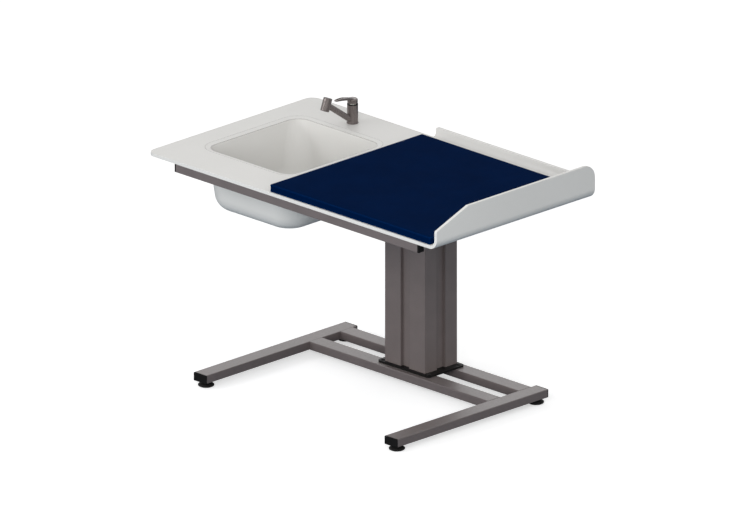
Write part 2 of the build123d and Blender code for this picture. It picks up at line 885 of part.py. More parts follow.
def lever_blade():
    """The lever seen from the side, then trimmed to its tapered plan and slotted near the tip."""
    crest = -lever_reach * lever_crest_share
    top_line = Spline((0, lever_root_top), (crest, lever_crest_top), (-lever_reach, lever_tip_top))
    tip = Line((-lever_reach, lever_tip_top), (-lever_reach, lever_tip_under))
    under_line = Spline((-lever_reach, lever_tip_under), (crest, lever_crest_under), (0, lever_root_under))
    root = Line((0, lever_root_under), (0, lever_root_top))
    side = make_face([top_line, tip, under_line, root])
    half_root = lever_root_width / 2
    half_tip = lever_tip_width / 2
    blade = along_x(side, -half_root, half_root)
    points = [(-half_root, 0), (-half_tip, -lever_reach), (half_tip, -lever_reach), (half_root, 0)]
    plan = make_face(Polyline(*points, close=True))
    for corner in (-half_tip, half_tip):
        plan = rounded(plan, corner, -lever_reach, half_tip * lever_tip_corner_share)
    slot = RectangleRounded(lever_slot_width, lever_slot_length, lever_slot_radius)
    for index in range(lever_slot_count):
        plan -= Pos(0, -lever_slot_inset - index * lever_slot_pitch) * slot
    return blade & along_z(plan, lever_root_under - overrun, lever_crest_top + overrun)


def tap_lever():
    cap = along_z(Circle(lever_cap_diameter / 2), lever_cap_bottom, lever_cap_top)
    cap = fillet(cap.edges().group_by(Axis.Z)[-1], lever_cap_edge_radius)
    cap += lever_blade()
    cap -= along_z(Circle(lever_cap_hollow_diameter / 2), lever_cap_bottom - overrun, lever_cap_hollow_top)
    hole = lever_pin_diameter / 2 + running_clearance
    return cap - lever_pin(hole, lever_pin_length + 2 * running_clearance)


def spray_head():
    """A short barrel across the end of the spout, on a neck that the hose pulls out of the spout."""
    half = spray_length / 2
    plane = spray_plane()
    barrel = extrude(plane.offset(-half) * Circle(spray_diameter / 2), amount=spray_length)
    barrel = fillet(barrel.edges().filter_by(GeomType.CIRCLE), spray_edge_radius)
    split = spout_reach - spray_neck_length + spray_split_gap
    barrel += spout_rod(spout_diameter / 2, split, spout_reach)
    groove_radius = spray_diameter / 2
    groove = Circle(groove_radius + overrun) - Circle(groove_radius - spray_collar_depth)
    for start in (-half + spray_collar_height, half - 2 * spray_collar_height):
        barrel -= extrude(plane.offset(start) * groove, amount=spray_collar_depth)
    mouth = extrude(plane.offset(half - spray_recess_depth) * Circle(spray_recess_diameter / 2),
                    amount=spray_recess_depth + overrun)
    barrel -= mouth
    hose_end = spout_reach - spray_neck_length + hose_in_head
    return barrel - spout_rod(hose_diameter / 2, split - overrun, hose_end)


def spray_nozzle():
    """The perforated disc in the mouth of the spray."""
    base = spray_plane().offset(spray_length / 2 - spray_recess_depth)
    disc = extrude(base * Circle(spray_recess_diameter / 2), amount=nozzle_thickness)
    hole = Circle(nozzle_hole_diameter / 2)
    face = base.offset(nozzle_thickness - nozzle_hole_depth)
    for diameter, count in zip(nozzle_ring_diameters, nozzle_ring_counts):
        holes = Sketch() + [place * hole for place in PolarLocations(diameter / 2, count)]
        disc -= extrude(face * holes, amount=nozzle_hole_depth + overrun)
    return disc


def spray_hose():
    """The straight stretch of the pull-out hose inside the spout."""
    return spout_rod(hose_diameter / 2, hose_start, spout_reach - spray_neck_length + hose_in_head)


# Mattress

def mattress():
    cove_start = end_guard_flat + guard_land
    x_places = (basin_right + mattress_from_basin, cove_start - mattress_end_gap)
    y_places = (top_front + mattress_from_front, top_back - mattress_back_gap)
    outline = span(x_places, y_places)
    outline = fillet(outline.vertices(), mattress_corner_radius)
    pad = along_z(outline, top_height, top_height + mattress_thickness)
    return chamfer(pad.edges().group_by(Axis.Z)[-1], mattress_edge_bevel)


# Control box and hand switch

def control_box():
    y_start = top_back - control_box_from_back - control_box_width
    bottom = top_under - control_box_height
    x_places = (control_box_x - control_box_length / 2, control_box_x + control_box_length / 2)
    outline = span(x_places, (y_start, y_start + control_box_width))
    outline = fillet(outline.vertices(), control_box_edge_radius)
    box = along_z(outline, bottom, top_under)
    box = fillet(box.edges().group_by(Axis.Z)[0], control_box_edge_radius / 2)
    hole = Rectangle(control_box_length * socket_length_share, socket_height)
    for index in range(socket_count):
        shift = (index - (socket_count - 1) / 2) * control_box_length * socket_pitch_share
        socket = Pos(control_box_x + shift, bottom + control_box_height / 2) * hole
        box -= along_y(socket, y_start - overrun, y_start + socket_depth)
    return box


def switch_centre():
    """The middle of the hand switch, behind the front rail."""
    switch_y = front_rail_y + rail_width / 2 + switch_width / 2
    return switch_x, switch_y


def hand_switch():
    """A switch housing screwed under the sheet, with a pocket for each key."""
    x_place, y_place = switch_centre()
    bottom = top_under - switch_height
    outline = RectangleRounded(switch_length, switch_width, switch_edge_radius)
    body = Pos(x_place, y_place) * along_z(outline, bottom, top_under)
    inside = key_height - key_stand_out + key_travel + key_clearance
    pocket = Rectangle(key_length + 2 * key_clearance, key_width + 2 * key_clearance)
    for side in (-1, 1):
        place = Pos(x_place + side * key_spacing / 2, y_place)
        body -= place * along_z(pocket, bottom - overrun, bottom + inside)
    return body


def key(side):
    x_place, y_place = switch_centre()
    bottom = top_under - switch_height - key_stand_out
    cap = along_z(Rectangle(key_length, key_width), bottom, bottom + key_height)
    cap = fillet(cap.edges().group_by(Axis.Z)[0], key_edge_radius)
    return Pos(x_place + side * key_spacing / 2, y_place) * cap


# Every piece by its node name

def pieces():
    found = {
        "worktop": worktop(),
        "end_guard": end_guard(),
        "back_guard": back_guard(),
        "basin_ring": basin_ring(),
        "basin_bowl": basin_bowl(),
        "waste_body": waste_body(),
        "waste_seal": waste_seal(),
        "waste_nut": waste_nut(),
        "waste_plug": waste_plug(),
        "mattress": mattress(),
        "front_rail": long_rail(front_rail_y),
        "rear_rail": long_rail(rear_rail_y),
        "left_cross_rail": column_cross_rail(-1),
        "middle_cross_rail": column_cross_rail(1),
        "right_cross_rail": cross_rail(top_right - right_cross_rail_inset),
        "rail_end_caps": rail_end_caps(),
        "outer_column": outer_column(),
        "inner_column": inner_column(),
        "upper_glide": upper_glide(),
        "lower_glide": lower_glide(),
        "column_collar": column_collar(),
        "column_top_plate": top_plate(),
        "top_plate_screws": top_plate_screws(),
        "column_base_plate": column_base_plate(),
        "base_plate_screws": base_plate_screws(),
        "lift_motor": lift_motor(),
        "spindle_bearing": spindle_bearing(),
        "lift_spindle": lift_spindle(),
        "nut_carrier": nut_carrier(),
        "spindle_nut": spindle_nut(),
        "left_leg": leg(-1),
        "right_leg": leg(1),
        "front_crossbar": crossbar(front_crossbar_y, -1),
        "rear_crossbar": crossbar(rear_crossbar_y, 1),
        "leg_end_caps": leg_end_caps(),
        "foot_nuts": foot_nuts(),
        "control_box": control_box(),
        "hand_switch": hand_switch(),
        "up_key": key(1),
        "down_key": key(-1),
    }
    tap_pieces = {
        "tap_base_ring": tap_base_ring(),
        "tap_body": tap_body(),
        "tap_shank": tap_shank(),
        "tap_washer": tap_washer(),
        "tap_nut": tap_nut(),
        "tap_seal_ring": tap_seal_ring(),
        "tap_cartridge": tap_cartridge(),
        "cartridge_stem": cartridge_stem(),
        "tap_lever": tap_lever(),
        "spray_head": spray_head(),
        "spray_nozzle": spray_nozzle(),
        "spray_hose": spray_hose(),
    }
    for name, piece in tap_pieces.items():
        found[name] = tap_place * piece
    for name, place in foot_places().items():
        found[name + "_foot_pad"] = place * foot_pad()
        found[name + "_foot_stem"] = place * foot_stem()
    return found


os.makedirs("parts", exist_ok=True)
for node, shape in pieces().items():
    export_step(shape, "parts/" + node + ".step")
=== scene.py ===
import json
import math

import bmesh
import bpy
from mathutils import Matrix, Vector, noise


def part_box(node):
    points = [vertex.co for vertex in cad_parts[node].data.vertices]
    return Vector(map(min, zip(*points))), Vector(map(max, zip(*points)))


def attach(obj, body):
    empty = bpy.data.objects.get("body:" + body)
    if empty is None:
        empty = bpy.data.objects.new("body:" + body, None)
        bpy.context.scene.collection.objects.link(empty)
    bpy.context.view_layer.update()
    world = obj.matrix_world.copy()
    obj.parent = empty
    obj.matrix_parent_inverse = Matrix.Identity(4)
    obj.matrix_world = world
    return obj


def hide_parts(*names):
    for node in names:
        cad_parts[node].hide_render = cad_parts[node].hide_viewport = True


# Looks of the changing table: a finish for every CAD piece, softened edges, the mattress, the
# floor, the light and the camera. All sizes are metres in the frame's own axes.

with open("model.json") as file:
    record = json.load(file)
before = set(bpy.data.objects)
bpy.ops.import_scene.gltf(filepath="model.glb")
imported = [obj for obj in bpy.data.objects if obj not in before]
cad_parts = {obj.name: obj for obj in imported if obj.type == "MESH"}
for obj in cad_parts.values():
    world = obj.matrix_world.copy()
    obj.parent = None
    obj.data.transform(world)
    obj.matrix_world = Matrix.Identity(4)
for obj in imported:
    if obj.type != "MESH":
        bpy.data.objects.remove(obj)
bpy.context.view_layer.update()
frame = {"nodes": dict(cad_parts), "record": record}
nodes = frame["nodes"]
record = frame["record"]

MM = 0.001

# The photograph is a parallel view from the front right, seen from above
PHOTO_WIDTH = 750
PIXELS_PER_MM = 0.2933
VIEW_AZIMUTH = 45.0
VIEW_ELEVATION = math.degrees(math.asin(1 / 3))
VIEW_CENTRE = Vector((-3.9 * MM, -3.9 * MM, 466.4 * MM))
CAMERA_DISTANCE = 8.0
CAMERA_CLIP = 4 * CAMERA_DISTANCE


# Colours

def screen_colour(red, green, blue):
    """A colour given as screen values from 0 to 255, turned into linear values."""
    linear = []
    for value in (red, green, blue):
        share = value / 255
        low = share / 12.92
        high = ((share + 0.055) / 1.055) ** 2.4
        linear.append(low if share <= 0.04045 else high)
    return (*linear, 1.0)


def shade(colour, factor):
    """The same colour, lighter or darker."""
    return (colour[0] * factor, colour[1] * factor, colour[2] * factor, 1.0)


# Node helpers

# Sockets of the Mix node that carry colours
MIX_FIRST = 6
MIX_SECOND = 7
MIX_RESULT = 2

# How far the rounded normal agrees with the true one, on an edge and on a flat face
EDGE_AGREEMENT = 0.86
FLAT_AGREEMENT = 0.995
EDGE_SAMPLES = 4


class Finish:
    """A material with its Principled shader and short ways to add procedural detail."""

    def __init__(self, name):
        self.material = bpy.data.materials.new(name)
        self.material.use_nodes = True
        self.tree = self.material.node_tree
        self.shader = self.tree.nodes["Principled BSDF"]
        self.place = self.add("ShaderNodeTexCoord").outputs["Object"]

    def add(self, kind, **settings):
        node = self.tree.nodes.new(kind)
        for key, value in settings.items():
            setattr(node, key, value)
        return node

    def link(self, start, end):
        self.tree.links.new(start, end)

    def set(self, **values):
        """Shader inputs by name, with an underscore for each space."""
        for key, value in values.items():
            self.shader.inputs[key.replace("_", " ")].default_value = value
        return self

    def stretched(self, scale):
        """The object's coordinates, stretched differently along each axis."""
        mapping = self.add("ShaderNodeMapping")
        mapping.inputs["Scale"].default_value = scale
        self.link(self.place, mapping.inputs["Vector"])
        return mapping.outputs["Vector"]

    def noise(self, scale, detail, roughness=0.5, place=None):
        node = self.add("ShaderNodeTexNoise")
        node.inputs["Scale"].default_value = scale
        node.inputs["Detail"].default_value = detail
        node.inputs["Roughness"].default_value = roughness
        self.link(place or self.place, node.inputs["Vector"])
        return node.outputs["Fac"]

    def cells(self, scale):
        node = self.add("ShaderNodeTexVoronoi")
        node.inputs["Scale"].default_value = scale
        self.link(self.place, node.inputs["Vector"])
        return node.outputs["Distance"]

    def tones(self, value, base, dark, pale, start=0.3, end=0.7):
        """The base colour, from darker to paler along a value."""
        node = self.add("ShaderNodeValToRGB")
        first, last = node.color_ramp.elements
        first.position, first.color = start, shade(base, dark)
        last.position, last.color = end, shade(base, pale)
        self.link(value, node.inputs["Fac"])
        return node.outputs["Color"]

    def spread(self, value, low, high, start=0.3, end=0.7):
        """A value spread between two limits."""
        node = self.add("ShaderNodeMapRange")
        node.inputs["From Min"].default_value = start
        node.inputs["From Max"].default_value = end
        node.inputs["To Min"].default_value = low
        node.inputs["To Max"].default_value = high
        self.link(value, node.inputs["Value"])
        return node.outputs["Result"]

    def combine(self, operation, first, second):
        """Two values in one operation. The second is a plain number or another node's output."""
        node = self.add("ShaderNodeMath", operation=operation)
        self.link(first, node.inputs[0])
        if isinstance(second, float):
            node.inputs[1].default_value = second
        else:
            self.link(second, node.inputs[1])
        return node.outputs["Value"]

    def mix(self, factor, first, second):
        """Two colours mixed by a value. Each is a plain colour or another node's output."""
        node = self.add("ShaderNodeMix", data_type="RGBA")
        self.link(factor, node.inputs["Factor"])
        for index, colour in ((MIX_FIRST, first), (MIX_SECOND, second)):
            if isinstance(colour, tuple):
                node.inputs[index].default_value = colour
            else:
                self.link(colour, node.inputs[index])
        return node.outputs[MIX_RESULT]

    def edges(self, radius):
        """A mask that is one along edges and zero on flat faces."""
        bevel = self.add("ShaderNodeBevel", samples=EDGE_SAMPLES)
        bevel.inputs["Radius"].default_value = radius
        normal = self.add("ShaderNodeNewGeometry").outputs["Normal"]
        dot = self.add("ShaderNodeVectorMath", operation="DOT_PRODUCT")
        self.link(bevel.outputs["Normal"], dot.inputs[0])
        self.link(normal, dot.inputs[1])
        return self.spread(dot.outputs["Value"], 1.0, 0.0, EDGE_AGREEMENT, FLAT_AGREEMENT)

    def uneven_edges(self, radius, scale, detail, low, high):
        """The mask of the edges, stronger and weaker along them."""
        strength = self.spread(self.noise(scale, detail), low, high)
        return self.combine("MULTIPLY", self.edges(radius), strength)

    def bump(self, height, distance, strength, under=None):
        node = self.add("ShaderNodeBump")
        node.inputs["Distance"].default_value = distance
        node.inputs["Strength"].default_value = strength
        self.link(height, node.inputs["Height"])
        if under is not None:
            self.link(under, node.inputs["Normal"])
        return node.outputs["Normal"]

    def finish(self, colour, roughness, normal=None):
        self.link(colour, self.shader.inputs["Base Color"])
        self.link(roughness, self.shader.inputs["Roughness"])
        if normal is not None:
            self.link(normal, self.shader.inputs["Normal"])
        return self.material


# Finishes

# Reach of the darker line along painted edges and glued joints
DARK_LINE = 3.2 * MM


def solid_surface(name, joint=0.0):
    """Off-white mineral sheet: sanded satin with a very fine fleck, darker at a glued joint."""
    make = Finish(name).set(Specular_IOR_Level=0.3)
    base = screen_colour(225, 224, 221)
    cloud = make.tones(make.noise(scale=5.0, detail=3.0), base, dark=0.985, pale=1.01)
    fleck = make.spread(make.noise(scale=2600.0, detail=1.0), low=0.0, high=0.35,
                        start=0.62, end=0.72)
    colour = make.mix(fleck, cloud, shade(base, 0.9))
    if joint:
        line = make.combine("MULTIPLY", make.edges(DARK_LINE), joint)
        colour = make.mix(line, colour, shade(base, 0.4))
    roughness = make.spread(make.noise(scale=90.0, detail=4.0), low=0.4, high=0.5)
    across = make.stretched((1.0, 0.16, 1.0))
    sanding = make.noise(scale=700.0, detail=3.0, roughness=0.6, place=across)
    normal = make.bump(sanding, distance=0.02 * MM, strength=0.5)
    return make.finish(colour, roughness, normal)


def powder_coat(name, base, rough=0.42, specular=0.5, coat=0.0):
    """Satin powder coat: orange peel, faint clouding, and darker along its edges."""
    make = Finish(name).set(Specular_IOR_Level=specular, Coat_Weight=coat, Coat_Roughness=0.5)
    cloud = make.tones(make.noise(scale=14.0, detail=4.0), base, dark=0.94, pale=1.06)
    grain = make.noise(scale=2400.0, detail=2.0)
    speck = make.spread(grain, low=0.0, high=0.5, start=0.6, end=0.75)
    colour = make.mix(speck, cloud, shade(base, 1.35))
    line = make.uneven_edges(DARK_LINE, scale=60.0, detail=5.0, low=0.6, high=0.9)
    colour = make.mix(line, colour, shade(base, 0.45))
    roughness = make.spread(make.noise(scale=120.0, detail=3.0), rough - 0.05, rough + 0.06)
    orange_peel = make.noise(scale=420.0, detail=2.0)
    peel = make.bump(orange_peel, distance=0.05 * MM, strength=0.35)
    normal = make.bump(grain, distance=0.02 * MM, strength=0.4, under=peel)
    return make.finish(colour, roughness, normal)


def moulded_plastic(name, base, grain_scale=1500.0, rough=0.5):
    """Spark-eroded plastic: a fine even grain and slightly dusty, paler edges."""
    make = Finish(name).set(Specular_IOR_Level=0.12)
    cloud = make.tones(make.noise(scale=35.0, detail=4.0), base, dark=0.85, pale=1.15)
    worn = make.uneven_edges(0.6 * MM, scale=150.0, detail=4.0, low=0.0, high=0.3)
    colour = make.mix(worn, cloud, shade(base, 2.2))
    roughness = make.spread(make.noise(scale=200.0, detail=3.0), rough - 0.06, rough + 0.08)
    normal = make.bump(make.cells(grain_scale), distance=0.04 * MM, strength=0.5)
    return make.finish(colour, roughness, normal)


def brushed_metal(name, base, rough, metallic, rim):
    """Metal with fine lines along one axis, a faint variation in gloss and a tinted rim."""
    make = Finish(name).set(Metallic=metallic, Specular_Tint=(rim, rim, rim, 1.0))
    along = make.stretched((900.0, 900.0, 12.0))
    lines = make.noise(scale=1.0, detail=3.0, roughness=0.65, place=along)
    cloud = make.spread(make.noise(scale=40.0, detail=3.0), low=0.2, high=0.8)
    tone = make.combine("ADD", make.spread(lines, low=-0.5, high=0.5), cloud)
    colour = make.tones(tone, base, dark=0.86, pale=1.14, start=0.0, end=1.0)
    roughness = make.spread(lines, rough - 0.06, rough + 0.08)
    normal = make.bump(lines, distance=0.015 * MM, strength=0.35)
    return make.finish(colour, roughness, normal)


def turned_metal(name, base, rough):
    """Turned or plated metal without a direction: soft spots and fine scratches."""
    make = Finish(name).set(Metallic=1.0)
    spots = make.noise(scale=260.0, detail=5.0, roughness=0.6)
    colour = make.tones(spots, base, dark=0.88, pale=1.08)
    roughness = make.spread(make.noise(scale=700.0, detail=4.0), rough - 0.08, rough + 0.12)
    across = make.stretched((0.2, 1.0, 1.0))
    scratches = make.noise(scale=500.0, detail=4.0, roughness=0.7, place=across)
    normal = make.bump(scratches, distance=0.01 * MM, strength=0.3)
    return make.finish(colour, roughness, normal)


def soft_rubber(name, base):
    """Rubber: matt, a little dusty, with a fine pitted grain."""
    make = Finish(name).set(Specular_IOR_Level=0.25)
    dust = make.noise(scale=55.0, detail=5.0, roughness=0.6)
    colour = make.tones(dust, base, dark=1.0, pale=1.8, start=0.35, end=0.8)
    roughness = make.spread(make.noise(scale=300.0, detail=3.0), low=0.62, high=0.8)
    pits = make.noise(scale=1400.0, detail=3.0)
    normal = make.bump(pits, distance=0.05 * MM, strength=0.5)
    return make.finish(colour, roughness, normal)


def coated_cover():
    """The mattress cover: dark blue coated cloth, a leather grain, soft creases, a painted
    highlight on its edges.
    """
    make = Finish("mattress_cover").set(Specular_IOR_Level=0.002)
    base = screen_colour(0, 22, 58)
    cloud = make.noise(scale=9.0, detail=4.0, roughness=0.6)
    tone = make.tones(cloud, base, dark=0.9, pale=1.12)
    pores = make.cells(950.0)
    pits = make.spread(pores, low=0.45, high=0.0, start=0.0, end=0.45)
    colour = make.mix(pits, tone, shade(base, 0.72))
    # Painted highlight: a paler blue line along the cover's rounded edges, stronger and weaker
    # along them
    line = make.uneven_edges(7.0 * MM, scale=80.0, detail=4.0, low=0.6, high=1.0)
    colour = make.mix(line, colour, screen_colour(6, 44, 94))
    roughness = make.spread(make.noise(scale=260.0, detail=3.0), low=0.55, high=0.68)
    folds = make.noise(scale=26.0, detail=5.0, roughness=0.62)
    creases = make.bump(folds, distance=0.5 * MM, strength=0.22)
    normal = make.bump(pores, distance=0.09 * MM, strength=0.6, under=creases)
    return make.finish(colour, roughness, normal)


def woven_hose():
    """Braided sleeve of the pull-out hose."""
    make = Finish("hose_braid").set(Specular_IOR_Level=0.4)
    base = screen_colour(150, 150, 150)
    wave = make.add("ShaderNodeTexWave")
    wave.inputs["Scale"].default_value = 160.0
    make.link(make.stretched((1.0, 1.0, 1.6)), wave.inputs["Vector"])
    weave = wave.outputs["Fac"]
    colour = make.tones(weave, base, dark=0.5, pale=1.0, start=0.2, end=0.8)
    roughness = make.spread(weave, low=0.3, high=0.55)
    return make.finish(colour, roughness, make.bump(weave, distance=0.2 * MM, strength=0.7))


PAINT = screen_colour(107, 98, 97)
# Painted light: the column wears the frame's paint, made lighter to make up for the shade it
# stands in under the worktop
COLUMN_LIGHTENED = screen_colour(112, 102, 100)
TAP = screen_colour(114, 106, 104)
BLACK = screen_colour(21, 20, 20)
HOUSING_GREY = screen_colour(48, 48, 50)
KEY_GREY = screen_colour(150, 150, 152)
GLIDE_WHITE = screen_colour(205, 205, 198)
FOOT_BLACK = screen_colour(24, 23, 23)
SEAL_BLACK = screen_colour(18, 18, 18)
BLACK_STEEL = screen_colour(74, 72, 72)
ZINC = screen_colour(176, 176, 178)
CHROME = screen_colour(214, 214, 216)
BRASS = screen_colour(196, 164, 104)
GROUND_STEEL = screen_colour(168, 168, 170)
CASTING_GREY = screen_colour(92, 92, 96)

white = solid_surface("white_solid_surface")
glued_white = solid_surface("glued_solid_surface", joint=0.9)
frame_paint = powder_coat("frame_powder_coat", PAINT, coat=0.5)
# Painted light: the frame's paint again, lighter on the column to make up for its shade under the
# worktop
lightened_column_paint = powder_coat("column_powder_coat_lightened", COLUMN_LIGHTENED, rough=0.4, coat=0.6)
black_paint = powder_coat("black_powder_coat", BLACK, rough=0.5, specular=0.15)
black_plastic = moulded_plastic("black_end_cap_plastic", BLACK)
grey_plastic = moulded_plastic("dark_housing_plastic", HOUSING_GREY)
key_plastic = moulded_plastic("key_plastic", KEY_GREY, grain_scale=2200.0)
glide_plastic = moulded_plastic("glide_plastic", GLIDE_WHITE, grain_scale=900.0, rough=0.4)
foot_rubber = soft_rubber("foot_rubber", FOOT_BLACK)
seal_rubber = soft_rubber("seal_rubber", SEAL_BLACK)
tap_metal = brushed_metal("tap_brushed_metal", TAP, rough=0.27, metallic=0.4, rim=1.0)
black_steel = turned_metal("black_oxide_steel", BLACK_STEEL, rough=0.42)
zinc = turned_metal("zinc_plated_steel", ZINC, rough=0.32)
chrome = turned_metal("polished_chrome", CHROME, rough=0.14)
brass = turned_metal("turned_brass", BRASS, rough=0.34)
ground_steel = brushed_metal("ground_steel", GROUND_STEEL, rough=0.32, metallic=1.0, rim=0.5)
motor_metal = turned_metal("motor_casting", CASTING_GREY, rough=0.5)
cover = coated_cover()
braid = woven_hose()

# Each node's finish, and how many millimetres of its sharp edges are rounded away. Zero keeps the
# CAD piece itself.
FINISHES = {
    "worktop": (white, 1.2),
    "end_guard": (white, 1.2),
    "back_guard": (white, 1.2),
    "basin_ring": (glued_white, 0.8),
    "basin_bowl": (white, 0.9),
    "waste_body": (chrome, 0.3),
    "waste_seal": (seal_rubber, 0.3),
    "waste_nut": (black_plastic, 0.6),
    "waste_plug": (chrome, 0.4),
    "front_rail": (frame_paint, 0),
    "rear_rail": (frame_paint, 0),
    "left_cross_rail": (frame_paint, 0),
    "middle_cross_rail": (frame_paint, 0),
    "right_cross_rail": (frame_paint, 0),
    "rail_end_caps": (black_plastic, 0.5),
    "leg_end_caps": (black_plastic, 0.6),
    "column_collar": (black_plastic, 0.6),
    "outer_column": (lightened_column_paint, 0.3),
    "inner_column": (lightened_column_paint, 0.3),
    "upper_glide": (glide_plastic, 0),
    "lower_glide": (glide_plastic, 0),
    "column_top_plate": (black_paint, 0.6),
    "column_base_plate": (black_paint, 0.8),
    "top_plate_screws": (zinc, 0.2),
    "base_plate_screws": (black_steel, 0.2),
    "lift_motor": (motor_metal, 0.8),
    "spindle_bearing": (ground_steel, 0.3),
    "lift_spindle": (ground_steel, 0.3),
    "nut_carrier": (black_paint, 0),
    "spindle_nut": (brass, 0.4),
    "left_leg": (frame_paint, 0),
    "right_leg": (frame_paint, 0),
    "front_crossbar": (frame_paint, 0),
    "rear_crossbar": (frame_paint, 0),
    "foot_nuts": (zinc, 0),
    "control_box": (grey_plastic, 0.6),
    "hand_switch": (grey_plastic, 0.5),
    "up_key": (key_plastic, 0.4),
    "down_key": (key_plastic, 0.4),
    "tap_base_ring": (tap_metal, 0.5),
    "tap_body": (tap_metal, 0.4),
    "tap_lever": (tap_metal, 0.5),
    "spray_head": (tap_metal, 0.3),
    "tap_shank": (brass, 0.4),
    "tap_nut": (brass, 0.6),
    "tap_washer": (seal_rubber, 0.4),
    "tap_seal_ring": (black_plastic, 0.3),
    "tap_cartridge": (glide_plastic, 0.3),
    "cartridge_stem": (brass, 0.2),
    "spray_nozzle": (black_plastic, 0.2),
    "spray_hose": (braid, 0),
}
for end in ("front_left", "front_right", "rear_left", "rear_right"):
    FINISHES[end + "_foot_pad"] = (foot_rubber, 0.8)
    FINISHES[end + "_foot_stem"] = (zinc, 0.3)

SMOOTH_ANGLE = math.radians(32)
COPLANAR_ANGLE = math.radians(0.4)
WELD_DISTANCE = 0.002 * MM
BEVEL_STEPS = 2
SEAM_REACH = 0.05 * MM

# Pieces that are bonded flush, so that no edge shows where they meet
GLUED = {
    "worktop": ("end_guard", "back_guard"),
    "end_guard": ("worktop",),
    "back_guard": ("worktop",),
    "basin_bowl": ("basin_ring",),
    "basin_ring": ("basin_bowl",),
}

body_of_node = {node: body for body, members in record["behaviour"]["bodies"].items()
                for node in members}


def shade_smooth(mesh):
    for polygon in mesh.polygons:
        polygon.use_smooth = True


def glued(edge, neighbours):
    """Whether an edge lies in a neighbour's box, where the two pieces run into one surface."""
    middle = (edge.verts[0].co + edge.verts[1].co) / 2
    for low, high in neighbours:
        if all(low[axis] - SEAM_REACH < middle[axis] < high[axis] + SEAM_REACH
               for axis in range(3)):
            return True
    return False


def round_edges(mesh, width, neighbours):
    """Weld the mesh, merge its flat triangles and round its sharp edges."""
    work = bmesh.new()
    work.from_mesh(mesh)
    bmesh.ops.remove_doubles(work, verts=work.verts, dist=WELD_DISTANCE)
    bmesh.ops.dissolve_limit(work, angle_limit=COPLANAR_ANGLE, verts=work.verts,
                             edges=work.edges)
    sharp = [edge for edge in work.edges
             if edge.is_manifold and edge.calc_face_angle() > SMOOTH_ANGLE
             and not glued(edge, neighbours)]
    bmesh.ops.bevel(work, geom=sharp, offset=width, segments=BEVEL_STEPS, profile=0.5,
                    affect="EDGES", clamp_overlap=True)
    work.to_mesh(mesh)
    work.free()


def soften(node, material, width):
    """A copy of a CAD piece with rounded edges, which stands in for it."""
    mesh = nodes[node].data.copy()
    mesh.materials.clear()
    mesh.materials.append(material)
    piece = bpy.data.objects.new(node + "_finished", mesh)
    bpy.context.scene.collection.objects.link(piece)
    if "custom_normal" in mesh.attributes:
        mesh.attributes.remove(mesh.attributes["custom_normal"])
    round_edges(mesh, width, [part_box(other) for other in GLUED.get(node, ())])
    shade_smooth(mesh)
    mesh.set_sharp_from_angle(angle=SMOOTH_ANGLE)
    weighted = piece.modifiers.new("even_normals", "WEIGHTED_NORMAL")
    weighted.keep_sharp = True
    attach(piece, body_of_node[node])
    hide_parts(node)


def finish_node(node, material, width):
    if width:
        soften(node, material, width * MM)
        return
    mesh = nodes[node].data
    mesh.materials.clear()
    mesh.materials.append(material)


for node, (material, width) in FINISHES.items():
    finish_node(node, material, width)


# Mattress: a flat foam pad in a welded cover, crowned a little, its sides drawn in

PAD_STEP = 7 * MM
PAD_CORNER = 4 * MM
PAD_CORNER_STEPS = 8
PAD_LIFT = 0.2 * MM
PAD_BASE_RINGS = 6

# Side, from the base up: inset and height of each ring at its foot, then the hollow wall
PAD_FOOT_RINGS_MM = ((1.2, 0.0), (0.35, 0.8), (0.0, 2.2))
PAD_WALL_START = 3.6 * MM
PAD_WALL_END_GAP = 1.0 * MM
PAD_WALL_INSET = 0.2 * MM
PAD_WALL_ROWS = 8
PAD_SIDE_HOLLOW = 0.6 * MM

# Round top edge, then the weld's groove: inset past the edge and depth below the top
PAD_EDGE = 2.4 * MM
PAD_EDGE_DEGREES = (0, 30, 60, 90)
PAD_WELD_RINGS_MM = ((1.2, 0.35), (2.0, 0.75), (2.8, 0.45), (4.5, 0.1))

# Softness: crown, ripple on it, and how the sides pull in between the corners
PAD_CROWN = 1.6 * MM
PAD_CROWN_POWER = 4
PAD_RIPPLE = 0.35 * MM
PAD_RIPPLES_PER_METRE = 9
PAD_SIDE_PULL = 0.8 * MM
PAD_PULL_POWER = 6


def pad_outline(low, high):
    """Points round the pad's plan, evenly spaced, with round corners."""
    middle_x, middle_y = (low.x + high.x) / 2, (low.y + high.y) / 2
    corners = [(high.x, high.y), (low.x, high.y), (low.x, low.y), (high.x, low.y)]

    def on_corner(index, degrees):
        x, y = corners[index % len(corners)]
        centre = Vector((x - math.copysign(PAD_CORNER, x - middle_x),
                         y - math.copysign(PAD_CORNER, y - middle_y)))
        angle = math.radians(degrees)
        return centre + PAD_CORNER * Vector((math.cos(angle), math.sin(angle)))

    points = []
    for index in range(len(corners)):
        start = 90 * index
        for step in range(PAD_CORNER_STEPS + 1):
            points.append(on_corner(index, start + 90 * step / PAD_CORNER_STEPS))
        first, last = points[-1].copy(), on_corner(index + 1, start + 90)
        count = round((last - first).length / PAD_STEP)
        for step in range(1, count):
            points.append(first.lerp(last, step / count))
    return points


def pad_profile(height):
    """Inset and height of each ring, from the base up the side to the flat of the top."""
    rings = [(inset * MM, up * MM) for inset, up in PAD_FOOT_RINGS_MM]
    wall_end = height - PAD_EDGE - PAD_WALL_END_GAP
    for row in range(PAD_WALL_ROWS + 1):
        share = row / PAD_WALL_ROWS
        rings.append((PAD_SIDE_HOLLOW * math.sin(math.pi * share) + PAD_WALL_INSET,
                      PAD_WALL_START + (wall_end - PAD_WALL_START) * share))
    for degrees in PAD_EDGE_DEGREES:
        angle = math.radians(degrees)
        rings.append((PAD_EDGE * (1 - math.cos(angle)),
                      height - PAD_EDGE * (1 - math.sin(angle))))
    for inset, down in PAD_WELD_RINGS_MM:
        rings.append((PAD_EDGE + inset * MM, height - down * MM))
    return rings


def bridge(work, first, second):
    """Quads between two rings of equal count."""
    count = len(first)
    for index in range(count):
        after = (index + 1) % count
        work.faces.new((first[index], first[after], second[after], second[index]))


